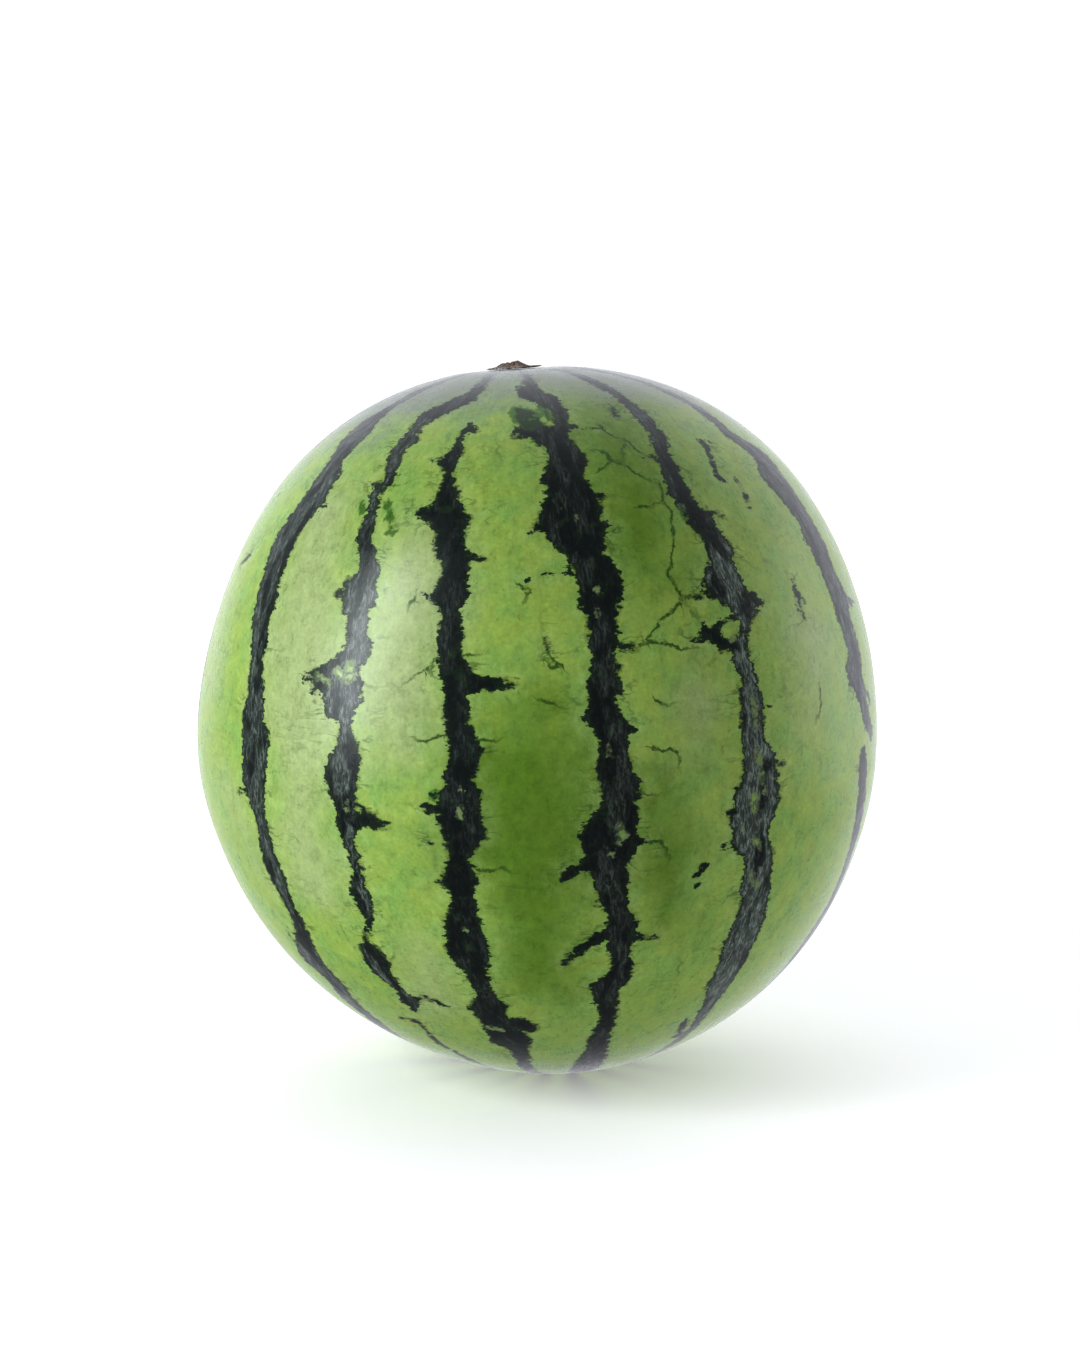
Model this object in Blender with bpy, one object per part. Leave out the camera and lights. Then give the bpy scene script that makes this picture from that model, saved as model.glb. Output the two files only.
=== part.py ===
"""A whole watermelon standing on its blossom end: the fruit, and the dry stub of its stalk.

The model is in metres with +Z up. Its origin is on the ground, under the middle of the fruit.
Seen from -Y, the stem end leans a little to the left, as the melon stands.
"""
import math

import bmesh
import bpy
import numpy as np

# Body of the fruit
EQUATOR_RADIUS = 0.1268
RISE_TO_STEM_END = 0.1375
DROP_TO_BLOSSOM_END = 0.1281
STEM_END_FULLNESS = 2.16
BLOSSOM_END_FULLNESS = 1.93
END_BLEND = 0.35
END_SHIFT = 0.0033
DEPTH_TO_WIDTH = 0.985

# Broad swellings and flats: degrees from the stem end, degrees round, height, spread in degrees
SWELLINGS = [
    (22.0, -90.0, 0.0010, 18.0),
    (61.0, -90.0, -0.0014, 15.0),
    (86.0, -90.0, 0.0013, 14.0),
    (112.0, -90.0, -0.0005, 15.0),
    (158.0, -80.0, -0.0010, 22.0),
    (66.0, 90.0, -0.0009, 18.0),
    (106.0, 90.0, -0.0008, 15.0),
    (134.0, 90.0, 0.0009, 22.0),
    (60.0, 150.0, 0.0009, 30.0),
    (105.0, 180.0, -0.0011, 28.0),
    (75.0, -145.0, 0.0008, 26.0),
]

# Stem end, leaning to the left, with its shallow hollow
LEAN = math.radians(3.8)
HOLLOW_DEPTH = 0.0010
HOLLOW_RADIUS = 0.024

# Flat spot underneath
REST_DEPTH = 0.0020

# Stub of the stalk: a flared foot, a short neck and a broken top
FOOT_RADIUS = 0.0092
FOOT_EDGE = 0.0006
NECK_RADIUS = 0.0046
NECK_HEIGHT = 0.0015
TOP_RADIUS = 0.0038
TOP_HEIGHT = 0.0022
TOP_SLANT = 0.16
PITH_RADIUS = 0.0017
PITH_DEPTH = 0.0007
STALK_RIDGES = 5
RIDGE_DEPTH = 0.10
STEM_GAP = 0.0003

# Fineness of the meshes
BODY_COLUMNS = 64
BODY_ROWS = 64
POLE_CROWDING = 0.40
STEM_COLUMNS = 40


def clear_scene():
    for thing in list(bpy.data.objects):
        bpy.data.objects.remove(thing, do_unlink=True)


def lean_over(directions):
    """Turns directions from the melon's own axis to the way it stands."""
    x, y, z = directions[..., 0], directions[..., 1], directions[..., 2]
    cos_lean, sin_lean = math.cos(LEAN), math.sin(LEAN)
    return np.stack([x * cos_lean - z * sin_lean, y, x * sin_lean + z * cos_lean], axis=-1)


def from_angles(down, around):
    """Unit directions at an angle down from the stem end and an angle round from -Y towards +X."""
    return np.stack([
        np.sin(down) * np.sin(around),
        -np.sin(down) * np.cos(around),
        np.cos(down) * np.ones_like(around),
    ], axis=-1)


def rind_points(down, around):
    """Points of the rind, from the melon's middle.

    Each half is a superellipse turned round the upright, the two are blended near the equator, and
    broad swellings and the hollow round the stem are added along the radius.
    """
    own = from_angles(down, around)
    way = lean_over(own)
    across = np.hypot(way[..., 0], way[..., 1] / DEPTH_TO_WIDTH)
    upper = np.clip(0.5 + way[..., 2] / (2 * END_BLEND), 0.0, 1.0)
    upper = upper * upper * (3.0 - 2.0 * upper)
    reach = DROP_TO_BLOSSOM_END + (RISE_TO_STEM_END - DROP_TO_BLOSSOM_END) * upper
    power = BLOSSOM_END_FULLNESS + (STEM_END_FULLNESS - BLOSSOM_END_FULLNESS) * upper
    radius = ((across / EQUATOR_RADIUS) ** power + (np.abs(way[..., 2]) / reach) ** power) ** (-1 / power)
    radius = radius + END_SHIFT * np.abs(way[..., 2]) ** 3 * way[..., 0]
    for swell_down, swell_around, height, spread in SWELLINGS:
        centre = from_angles(math.radians(swell_down), np.array(math.radians(swell_around)))
        angle = np.arccos(np.clip(own @ centre, -1.0, 1.0))
        radius = radius + height * np.exp(-(angle / math.radians(spread)) ** 2)
    from_stem = np.arccos(np.clip(own[..., 2], -1.0, 1.0)) * RISE_TO_STEM_END / HOLLOW_RADIUS
    radius = radius - HOLLOW_DEPTH * (0.5 + 0.5 * np.cos(math.pi * np.minimum(from_stem, 1.0)))
    return way * radius[..., None]


def make_object(name, bm, colour, roughness):
    """Turns a bmesh into an object with its own plain material."""
    bmesh.ops.recalc_face_normals(bm, faces=bm.faces)
    mesh = bpy.data.meshes.new(name)
    bm.to_mesh(mesh)
    bm.free()
    mesh.shade_smooth()
    mesh.set_sharp_from_angle(angle=math.radians(40.0))
    material = bpy.data.materials.new(name)
    material.use_nodes = True
    shader = material.node_tree.nodes["Principled BSDF"]
    shader.inputs["Base Color"].default_value = (*colour, 1.0)
    shader.inputs["Roughness"].default_value = roughness
    shader.inputs["Metallic"].default_value = 0.0
    mesh.materials.append(material)
    thing = bpy.data.objects.new(name, mesh)
    bpy.context.scene.collection.objects.link(thing)
    return thing


def crowd_rows(down):
    """Draws the rows of a globe closer together towards its poles."""
    return down - 0.5 * POLE_CROWDING * np.sin(2.0 * down)


def fruit_mesh():
    """A globe bent to the melon's form, with the flat spot cut underneath."""
    bm = bmesh.new()
    bmesh.ops.create_uvsphere(bm, u_segments=BODY_COLUMNS, v_segments=BODY_ROWS, radius=1.0)
    globe = np.array([vert.co for vert in bm.verts], dtype=float)
    down = crowd_rows(np.arccos(np.clip(globe[:, 2], -1.0, 1.0)))
    around = np.arctan2(globe[:, 0], -globe[:, 1])
    for vert, point in zip(bm.verts, rind_points(down, around)):
        vert.co = point
    ground = min(vert.co.z for vert in bm.verts) + REST_DEPTH
    cut = bmesh.ops.bisect_plane(
        bm, geom=bm.verts[:] + bm.edges[:] + bm.faces[:],
        plane_co=(0.0, 0.0, ground), plane_no=(0.0, 0.0, -1.0), clear_outer=True)
    rim = [item for item in cut["geom_cut"] if isinstance(item, bmesh.types.BMEdge)]
    bmesh.ops.contextual_create(bm, geom=rim)
    return bm


def stalk_ring(radius, height, around):
    """One loop of the stub, ridged, at a height above the rind."""
    ridged = radius * (1.0 + RIDGE_DEPTH * np.cos(STALK_RIDGES * around))
    points = rind_points(ridged / RISE_TO_STEM_END, around)
    points[:, 2] += height
    return points


def stem_mesh():
    """The stub as loops from the foot's middle, out under the foot, and up to the broken top."""
    around = np.arange(STEM_COLUMNS) * 2.0 * math.pi / STEM_COLUMNS
    slant = 1.0 + TOP_SLANT * np.sin(around)
    top = TOP_HEIGHT * slant
    rim_fall = TOP_HEIGHT - FOOT_EDGE
    loops = [
        stalk_ring(0.35 * FOOT_RADIUS, STEM_GAP, around),
        stalk_ring(0.70 * FOOT_RADIUS, STEM_GAP, around),
        stalk_ring(FOOT_RADIUS, STEM_GAP, around),
        stalk_ring(1.02 * FOOT_RADIUS, STEM_GAP + 0.5 * FOOT_EDGE, around),
        stalk_ring(0.97 * FOOT_RADIUS, STEM_GAP + FOOT_EDGE, around),
        stalk_ring(0.78 * FOOT_RADIUS, STEM_GAP + FOOT_EDGE + 0.10 * rim_fall, around),
        stalk_ring(0.62 * FOOT_RADIUS, STEM_GAP + FOOT_EDGE + 0.26 * rim_fall, around),
        stalk_ring(NECK_RADIUS, STEM_GAP + NECK_HEIGHT, around),
        stalk_ring(TOP_RADIUS, STEM_GAP + 0.90 * top, around),
        stalk_ring(0.88 * TOP_RADIUS, STEM_GAP + top, around),
        stalk_ring(PITH_RADIUS, STEM_GAP + top - 0.2 * PITH_DEPTH, around),
        stalk_ring(0.6 * PITH_RADIUS, STEM_GAP + top - PITH_DEPTH, around),
    ]
    bm = bmesh.new()
    rings = [[bm.verts.new(point) for point in loop] for loop in loops]
    for lower, upper in zip(rings, rings[1:]):
        for here in range(STEM_COLUMNS):
            after = (here + 1) % STEM_COLUMNS
            bm.faces.new((lower[here], lower[after], upper[after], upper[here]))
    for ring in (rings[0], rings[-1]):
        centre = bm.verts.new(sum((vert.co for vert in ring), ring[0].co * 0.0) / STEM_COLUMNS)
        for here in range(STEM_COLUMNS):
            bm.faces.new((ring[here], ring[(here + 1) % STEM_COLUMNS], centre))
    return bm


def stand_on_ground(fruit, others):
    """Moves every mesh so that the fruit's flat spot is at Z = 0 under the middle of its box."""
    corners = np.array([vert.co for vert in fruit.data.vertices])
    low, high = corners.min(axis=0), corners.max(axis=0)
    shift = -0.5 * (low + high)
    shift[2] = -low[2]
    for thing in [fruit, *others]:
        for vert in thing.data.vertices:
            vert.co = np.array(vert.co) + shift


def main():
    clear_scene()
    fruit = make_object("fruit", fruit_mesh(), (0.20, 0.36, 0.07), 0.38)
    stem = make_object("stem", stem_mesh(), (0.17, 0.10, 0.06), 0.85)
    stand_on_ground(fruit, [stem])


main()
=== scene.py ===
"""Looks of a whole striped watermelon standing on its blossom end, with the dry stub of its stalk.

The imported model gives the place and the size. The rind is one closed surface worked out from the
same formula as the solid; its stripes, veins and blotches are strokes laid on that surface, and the
material reads how far each point lies inside them. The visible side's strokes are placed by pixels
of the photograph, in its 1080 x 1350 frame, and the hidden side's by a seeded rule.
"""
import math

import bpy
import numpy as np
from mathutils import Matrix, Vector


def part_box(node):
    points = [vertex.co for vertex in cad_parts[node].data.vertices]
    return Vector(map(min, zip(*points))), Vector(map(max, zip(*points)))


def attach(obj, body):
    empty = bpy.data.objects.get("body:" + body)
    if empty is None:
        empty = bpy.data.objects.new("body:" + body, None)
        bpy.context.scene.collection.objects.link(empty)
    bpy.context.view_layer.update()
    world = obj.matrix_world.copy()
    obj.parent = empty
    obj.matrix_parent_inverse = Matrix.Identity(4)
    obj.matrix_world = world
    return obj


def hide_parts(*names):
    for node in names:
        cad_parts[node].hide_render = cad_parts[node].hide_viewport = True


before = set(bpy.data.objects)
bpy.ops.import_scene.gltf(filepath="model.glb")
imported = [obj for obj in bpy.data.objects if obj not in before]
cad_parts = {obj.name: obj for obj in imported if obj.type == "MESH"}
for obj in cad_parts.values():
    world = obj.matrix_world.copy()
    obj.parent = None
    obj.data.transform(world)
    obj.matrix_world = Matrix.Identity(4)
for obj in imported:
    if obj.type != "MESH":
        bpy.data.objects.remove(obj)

bl_info = {
    "name": "Striped watermelon",
    "version": (1, 0, 0),
    "blender": (4, 5, 0),
    "location": "3D View > Sidebar > Melon",
    "description": "Builds the rind, the stalk stub and the stage of a whole watermelon",
    "category": "Object",
}

MM = 0.001
FRUIT_LOW, FRUIT_HIGH = (np.array(corner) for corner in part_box("fruit"))
STEM_LOW, STEM_HIGH = (np.array(corner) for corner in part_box("stem"))
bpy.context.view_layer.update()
MIDDLE = np.array([0.0, 0.0, 0.5 * FRUIT_HIGH[2]])

# Body of the fruit, as in the solid
EQUATOR_RADIUS = 0.1268
RISE_TO_STEM_END = 0.1375
DROP_TO_BLOSSOM_END = 0.1281
STEM_END_FULLNESS = 2.16
BLOSSOM_END_FULLNESS = 1.93
END_BLEND = 0.35
END_SHIFT = 0.0033
DEPTH_TO_WIDTH = 0.985
LEAN = math.radians(3.8)
HOLLOW_DEPTH = 0.0010
HOLLOW_RADIUS = 0.024
STEM_GAP = 0.0003

# Broad swellings and flats: degrees from the stem end, degrees round, height, spread in degrees
SWELLINGS = [
    (22.0, -90.0, 0.0010, 18.0),
    (61.0, -90.0, -0.0014, 15.0),
    (86.0, -90.0, 0.0013, 14.0),
    (112.0, -90.0, -0.0005, 15.0),
    (158.0, -80.0, -0.0010, 22.0),
    (66.0, 90.0, -0.0009, 18.0),
    (106.0, 90.0, -0.0008, 15.0),
    (134.0, 90.0, 0.0009, 22.0),
    (60.0, 150.0, 0.0009, 30.0),
    (105.0, 180.0, -0.0011, 28.0),
    (75.0, -145.0, 0.0008, 26.0),
]

# Photograph: its frame, where the middle of the fruit lies in it, and its focal length, in pixels
PHOTO_WIDTH = 1080.0
PHOTO_HEIGHT = 1350.0
MIDDLE_X = 536.8
MIDDLE_Y = 718.0
FOCAL_PIXELS = 2574.0

# How often the span of a ray is halved to find where it meets the rind
HALVINGS = 30

# Stripes on the visible side, left to right: rows of y, left edge, right edge in photograph pixels
STRIPE_ROWS = {
    "first": [
        (397, 404, 412), (408, 386, 393), (420, 364, 379), (440, 342, 363), (460, 329, 343),
        (480, 314, 336), (500, 302, 325), (520, 286, 308), (540, 273, 296), (580, 262, 280),
        (600, 256, 276), (620, 252, 269), (640, 252, 268), (660, 251, 262), (700, 248, 264),
        (720, 242, 263), (740, 242, 268), (780, 243, 264), (820, 256, 266), (860, 263, 278),
        (900, 283, 292), (920, 293, 303), (960, 304, 320), (980, 328, 339), (1000, 344, 354),
        (1020, 370, 378), (1036, 394, 400),
    ],
    "second_crown": [
        (392, 469, 482), (398, 455, 479), (410, 430, 454), (416, 416, 441),
    ],
    "second": [
        (420, 415, 433), (430, 410, 417), (440, 400, 417), (450, 391, 405), (460, 388, 400),
        (480, 384, 395), (486, 374, 384), (500, 368, 379), (510, 367, 377), (540, 356, 372),
        (560, 359, 378), (570, 358, 380), (590, 343, 377), (600, 342, 375), (610, 346, 370),
        (620, 346, 367), (640, 346, 371), (650, 341, 372), (660, 335, 362), (668, 328, 358),
        (678, 322, 360), (690, 322, 362), (700, 322, 358), (720, 337, 352), (730, 338, 350),
        (750, 336, 359), (760, 330, 361), (780, 324, 358), (800, 335, 356), (830, 337, 356),
        (850, 347, 357), (860, 350, 359), (900, 353, 372), (920, 366, 373), (940, 363, 368),
        (950, 361, 376), (960, 364, 388), (970, 370, 390), (990, 395, 404), (1000, 402, 418),
        (1010, 411, 417),
    ],
    "third": [
        (425, 469, 473), (430, 462, 470), (440, 455, 462), (450, 452, 464), (460, 440, 457),
        (470, 444, 456), (480, 444, 456), (490, 438, 457), (510, 428, 462), (520, 430, 468),
        (530, 436, 466), (540, 434, 464), (550, 434, 467), (560, 442, 472), (570, 442, 469),
        (595, 432, 469), (605, 438, 462), (620, 440, 461), (640, 437, 463), (650, 436, 461),
        (660, 437, 463), (670, 439, 470), (684, 442, 474), (700, 443, 470), (730, 446, 469),
        (740, 448, 478), (760, 448, 480), (780, 443, 474), (800, 440, 482), (810, 436, 481),
        (820, 436, 484), (830, 441, 485), (840, 446, 480), (850, 448, 469), (880, 442, 477),
        (900, 452, 475), (920, 446, 480), (950, 445, 490), (960, 452, 490), (970, 468, 489),
        (980, 468, 489), (990, 475, 490), (1000, 475, 502), (1008, 471, 507), (1015, 475, 502),
        (1026, 482, 520), (1040, 490, 526), (1050, 510, 529), (1068, 521, 532),
    ],
    "fourth": [
        (386, 524, 537), (394, 518, 545), (400, 530, 562), (410, 553, 568), (420, 555, 568),
        (428, 553, 573), (436, 535, 572), (450, 547, 578), (460, 550, 588), (470, 545, 583),
        (480, 541, 584), (500, 550, 600), (510, 541, 602), (520, 538, 603), (527, 538, 608),
        (535, 558, 606), (560, 568, 606), (570, 570, 618), (580, 578, 624), (590, 577, 624),
        (600, 578, 620), (610, 583, 620), (620, 587, 616), (630, 587, 620), (652, 591, 614),
        (660, 591, 618), (690, 587, 621), (700, 588, 613), (710, 588, 618), (718, 584, 621),
        (730, 592, 631), (750, 600, 628), (770, 596, 634), (790, 602, 641), (800, 604, 636),
        (820, 596, 639), (830, 592, 636), (838, 580, 640), (860, 585, 631), (880, 595, 630),
        (897, 597, 628), (910, 606, 630), (920, 608, 633), (930, 604, 638), (948, 608, 632),
        (960, 610, 631), (970, 610, 634), (990, 590, 620), (1000, 595, 618), (1020, 600, 616),
        (1033, 591, 612), (1048, 586, 608), (1060, 578, 605), (1066, 573, 601),
    ],
    "fifth_crown": [
        (385, 594, 607), (390, 604, 617), (400, 619, 629), (410, 628, 642), (420, 638, 654),
        (440, 653, 667), (450, 654, 670), (480, 664, 684), (490, 666, 690), (500, 672, 694),
        (510, 682, 704), (520, 684, 717), (530, 699, 720), (540, 704, 726),
    ],
    "fifth": [
        (540, 704, 726), (550, 707, 733), (560, 709, 734), (580, 705, 741), (590, 708, 752),
        (600, 722, 758), (606, 730, 759), (612, 736, 754), (620, 739, 750), (634, 740, 749),
        (643, 732, 750), (654, 732, 751), (664, 735, 754), (675, 739, 755), (685, 741, 759),
        (700, 740, 764), (737, 741, 764), (750, 741, 768), (760, 743, 777), (775, 743, 779),
        (785, 740, 776), (797, 737, 780), (805, 734, 778), (820, 733, 772), (835, 731, 771),
        (850, 743, 772), (860, 745, 773), (880, 741, 772), (900, 742, 769), (940, 726, 757),
        (960, 721, 747), (980, 711, 734), (1010, 700, 710), (1026, 691, 698),
    ],
    "sixth": [
        (408, 694, 702), (435, 725, 735), (460, 758, 772), (480, 766, 787), (520, 798, 812),
        (540, 806, 824), (560, 816, 830), (600, 833, 848), (620, 838, 851), (650, 849, 860),
        (660, 850, 862), (672, 847, 861), (694, 857, 867), (710, 861, 869), (733, 869, 873),
    ],
    "sixth_foot": [
        (762, 859, 867), (800, 858, 865), (830, 854, 859.5), (860, 846, 850), (880, 839, 842.5),
        (900, 830, 833), (920, 819, 822), (936, 808, 811),
    ],
}

# How much light streaking each stripe has, from 0 to 1. The second stripe's is partly a painted
# highlight, for the key light's reflection that greys it
STREAKING = {
    "first": 0.55, "second_crown": 0.15, "second": 0.65, "third": 0.1, "fourth": 0.2,
    "fifth_crown": 0.35, "fifth": 1.0, "sixth": 0.5, "sixth_foot": 0.15,
}

# Stripes that carry on past their rows, up to the stem end and down to the blossom end
UP_TO_STEM = ("first", "second_crown", "fourth", "fifth_crown", "sixth")
DOWN_TO_BLOSSOM = ("first", "third", "fourth", "fifth", "sixth_foot")
STEM_END_DOWN = math.radians(5.0)
BLOSSOM_END_DOWN = math.radians(173.0)

# Spurs, branches and loose dark pieces: chains of x, y in photograph pixels and half width in mm
SPURS = [
    [(308, 500, 2.0), (325, 506, 1.1)],
    [(427, 413, 2.4), (440, 408, 3.0), (457, 405, 2.5)],
    [(248, 786, 1.0), (237, 793, 0.3)],
    [(288, 932, 0.5), (300, 950, 0.8), (306, 961, 0.9)],
    [(408, 434, 1.6), (421, 433, 0.5)],
    [(352, 585, 1.5), (336, 595, 0.4)],
    [(338, 668, 1.9), (316, 672, 1.5), (302, 680, 0.5)],
    [(332, 688, 2.4), (318, 684, 1.8), (313, 693, 0.7)],
    [(350, 822, 3.2), (366, 819, 2.9), (378, 823, 2.3), (391, 827, 0.6)],
    [(366, 814, 1.5), (360, 806, 0.5)],
    [(404, 1002, 1.3), (425, 997, 1.1), (438, 1002, 0.8), (450, 1008, 0.4)],
    [(402, 1018, 0.6), (420, 1022, 0.9), (425, 1030, 0.8), (440, 1044, 0.8), (452, 1050, 0.7)],
    [(447, 461, 1.3), (432, 460, 0.4)],
    [(470, 424, 0.6), (476, 431, 0.4)],
    [(456, 520, 1.4), (474, 519, 0.4)],
    [(440, 514, 4.2), (430, 514, 3.4), (422, 512, 2.0), (415, 510, 0.4)],
    [(462, 557, 1.6), (484, 559, 0.4)],
    [(440, 594, 1.2), (415, 595, 0.3)],
    [(462, 684, 4.6), (478, 684, 3.3), (495, 684, 2.2), (506, 685, 1.1), (516, 684, 0.3)],
    [(470, 740, 1.8), (480, 752, 1.2)],
    [(445, 809, 3.4), (432, 808, 1.6), (422, 807, 0.4)],
    [(437, 800, 1.2), (430, 794, 0.4)],
    [(445, 880, 1.6), (432, 884, 0.3)],
    [(484, 998, 2.0), (470, 1008, 0.8)],
    [(508, 1024, 3.4), (521, 1024, 4.0), (529, 1028, 3.0)],
    [(519, 1034, 3.0), (523, 1042, 3.0), (522, 1052, 2.2)],
    [(522, 387, 1.6), (524, 396, 2.4), (540, 396, 2.6), (556, 402, 2.2)],
    [(558, 438, 2.6), (536, 436, 2.8), (520, 432, 2.0), (514, 426, 0.6)],
    [(560, 428, 1.3), (580, 428, 0.8), (602, 427, 0.5)],
    [(552, 438, 1.8), (534, 434, 1.4), (516, 437, 1.2)],
    [(592, 496, 1.4), (611, 495, 0.3)],
    [(552, 530, 2.0), (538, 527, 1.6), (530, 532, 0.4)],
    [(572, 571, 1.2), (557, 572, 0.7), (545, 575, 0.5), (530, 578, 0.5), (520, 585, 0.4)],
    [(604, 527, 1.4), (612, 527, 0.4)],
    [(612, 648, 1.9), (624, 648, 1.3), (633, 647, 0.9)],
    [(590, 717, 1.4), (582, 718, 0.6)],
    [(622, 730, 2.2), (634, 730, 0.5)],
    [(585, 838, 2.6), (575, 834, 0.4)],
    [(632, 840, 2.8), (645, 840, 0.9), (652, 841, 0.4)],
    [(598, 864, 2.6), (580, 868, 2.2), (570, 874, 2.0), (560, 881, 0.9)],
    [(600, 901, 1.2), (592, 904, 0.3)],
    [(606, 934, 2.4), (592, 941, 2.2), (578, 950, 2.0), (565, 963, 0.9)],
    [(634, 938, 1.3), (645, 937, 0.6), (656, 937, 0.3)],
    [(596, 986, 1.6), (588, 986, 0.6)],
    [(655, 458, 1.4), (642, 458, 0.3)],
    [(705, 515, 1.8), (722, 515, 0.4)],
    [(720, 594, 2.6), (708, 594, 1.7), (697, 596, 0.6)],
    [(742, 596, 4.0), (751, 600, 3.4), (760, 603, 1.3)],
    [(687, 1018, 0.9), (683, 1026, 1.8), (677, 1036, 2.0)],
    [(740, 646, 2.2), (724, 645, 2.2), (714, 634, 2.4), (706, 632, 2.2), (703, 624, 1.0)],
    [(714, 634, 2.0), (722, 621, 1.0), (733, 617, 1.1)],
    [(706, 636, 1.5), (696, 642, 0.9), (689, 645, 0.4)],
    [(762, 704, 1.0), (771, 704, 0.3)],
    [(770, 762, 2.0), (782, 764, 0.9)],
    [(772, 798, 1.4), (781, 797, 0.5)],
    [(742, 790, 1.6), (734, 791, 0.6)],
    [(740, 810, 2.2), (730, 812, 0.8)],
    [(843, 602, 1.6), (855, 602, 0.4)],
    [(868, 694, 0.8), (870, 704, 0.7)],
    [(697, 875, 0.9), (704, 866, 1.3)],
    [(698, 883, 0.7), (695, 889, 0.4)],
    [(724, 848, 0.9), (729, 845, 0.7)],
    [(545, 640, 0.5), (546, 652, 0.4)],
    [(700, 440, 0.4), (706, 446, 1.0), (711, 460, 1.1), (719, 478, 1.3), (724, 480, 0.6)],
    [(706, 446, 0.8), (711, 442, 0.4)],
    [(792, 580, 0.6), (797, 592, 1.0), (800, 610, 1.0), (805, 620, 0.4)],
    [(797, 592, 0.7), (803, 600, 0.5)],
    [(270, 504, 0.6), (279, 495, 0.5)],
    [(240, 566, 0.6), (250, 555, 0.5)],
    [(430, 844, 0.8), (432, 848, 0.5)],
    [(610, 405, 0.6), (618, 417, 0.7)],
    [(735, 478, 0.4), (745, 495, 0.5), (750, 508, 0.4)],
]

# Where the second stripe's thin end leaves the visible side
SECOND_FOOT = [(452, 1050, 1.0)]

# Light gaps inside the stripes, as the spurs are given
LIGHT_GAPS = [
    [(731, 628, 2.2), (731, 636, 1.8)],
    [(317, 676, 1.0), (328, 681, 1.1)],
    [(337, 671, 1.5), (346, 680, 1.8)],
    [(347, 800, 0.8), (347, 811, 0.9)],
    [(462, 789, 0.8)],
    [(460, 808, 0.6), (459, 816, 1.0)],
    [(465, 930, 0.7)],
    [(488, 1027, 1.2), (502, 1030, 1.3)],
    [(576, 517, 0.8)],
    [(562, 510, 0.7)],
    [(597, 590, 1.0)],
    [(597, 610, 0.6), (597, 616, 0.6)],
    [(616, 656, 0.5), (615, 668, 0.4)],
    [(620, 826, 1.2), (624, 834, 1.6), (620, 842, 1.0)],
    [(612, 855, 1.3)],
    [(682, 508, 1.4)],
    [(754, 797, 2.0), (754, 809, 1.9)],
    [(756, 752, 1.3), (760, 761, 1.2)],
    [(761, 774, 1.3), (762, 781, 1.1)],
    [(764, 791, 1.0)],
    [(754, 839, 1.2), (760, 847, 1.2)],
    [(751, 874, 1.1), (757, 886, 1.1)],
    [(743, 828, 0.9)],
    [(753, 698, 1.0), (755, 712, 0.9), (756, 728, 0.9)],
    [(350, 664, 1.8), (351, 676, 2.3)],
    [(609, 745, 0.5), (610, 755, 0.5)],
]

# Mottled mid-green blotches, as the spurs are given
BLOTCHES = [
    [(518, 410, 3.0), (526, 416, 5.2), (534, 428, 5.0), (538, 438, 3.0)],
    [(544, 408, 2.0), (549, 420, 1.6)],
    [(389, 503, 1.5), (391, 530, 1.5)],
    [(361, 502, 1.3), (361, 514, 1.2)],
    [(394, 486, 1.2)],
    [(552, 522, 3.4), (560, 514, 3.0)],
    [(680, 506, 1.6), (688, 520, 1.4)],
    [(612, 410, 2.2)],
    [(434, 796, 2.4)],
]

# Broad tones of the ground, as the spurs are given: where it is deep green, which is partly its own
# tone and partly painted shade on the front that the lamps light least, and where it is pale, which
# is partly its own tone and partly painted light and haze where the lamps light it most
DEEP_GROUND_AND_SHADE = [
    [(532, 730, 6.0), (525, 780, 20.0), (532, 830, 24.0), (538, 880, 16.0), (543, 970, 9.0)],
    [(612, 400, 5.0), (622, 450, 17.0), (640, 520, 9.0), (650, 570, 2.0)],
    [(655, 800, 4.0), (668, 860, 6.0), (668, 920, 2.0)],
]
PALE_GROUND_AND_LIGHT = [
    [(322, 520, 8.0), (308, 600, 15.0), (300, 700, 16.0), (299, 790, 5.0), (314, 880, 5.0)],
    [(412, 540, 7.0), (408, 620, 11.0), (404, 700, 10.0), (400, 750, 2.0)],
    [(244, 520, 5.0), (224, 600, 6.0), (212, 680, 4.0)],
    [(236, 800, 4.0), (262, 880, 3.0)],
    [(428, 955, 2.0), (430, 1000, 5.0)],
    [(700, 700, 2.0), (702, 740, 1.0)],
    [(808, 640, 3.0), (816, 700, 1.0)],
]
TONE_REACH = 0.045

# Fine veins: chains of x, y in photograph pixels
VEINS = [
    [(659, 484), (663, 500), (672, 515), (673, 552), (668, 575), (683, 600), (697, 620)],
    [(683, 600), (672, 612), (660, 621), (650, 638), (636, 650)],
    [(683, 600), (694, 597), (704, 594)],
    [(633, 648), (648, 641), (665, 644), (680, 649), (698, 649)],
    [(600, 427), (612, 436), (625, 440), (640, 452), (652, 460)],
    [(600, 470), (612, 462), (625, 464), (640, 476), (656, 484)],
    [(625, 440), (622, 452), (625, 464)],
    [(612, 462), (604, 452), (592, 450)],
    [(640, 507), (652, 506), (663, 502)],
    [(652, 748), (662, 750), (672, 750), (680, 757), (680, 768)],
    [(645, 841), (658, 842), (668, 848), (668, 860)],
    [(436, 659), (428, 668), (418, 676), (404, 683)],
    [(428, 668), (437, 677)],
    [(463, 658), (470, 656), (479, 656)],
    [(415, 595), (411, 602), (409, 608)],
    [(445, 735), (434, 736), (424, 741), (414, 738)],
    [(545, 639), (546, 652)],
    [(546, 656), (553, 658), (562, 667), (551, 667), (550, 659)],
    [(638, 792), (648, 793), (658, 794)],
    [(698, 440), (706, 448), (710, 460), (717, 476)],
    [(478, 738), (492, 741), (500, 740)],
    [(520, 585), (528, 592), (524, 602)],
    [(656, 700), (660, 705), (672, 704)],
    [(540, 700), (552, 705), (562, 708)],
    [(478, 870), (490, 872), (500, 868), (512, 872)],
    [(820, 690), (821, 705), (816, 722)],
]

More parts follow.
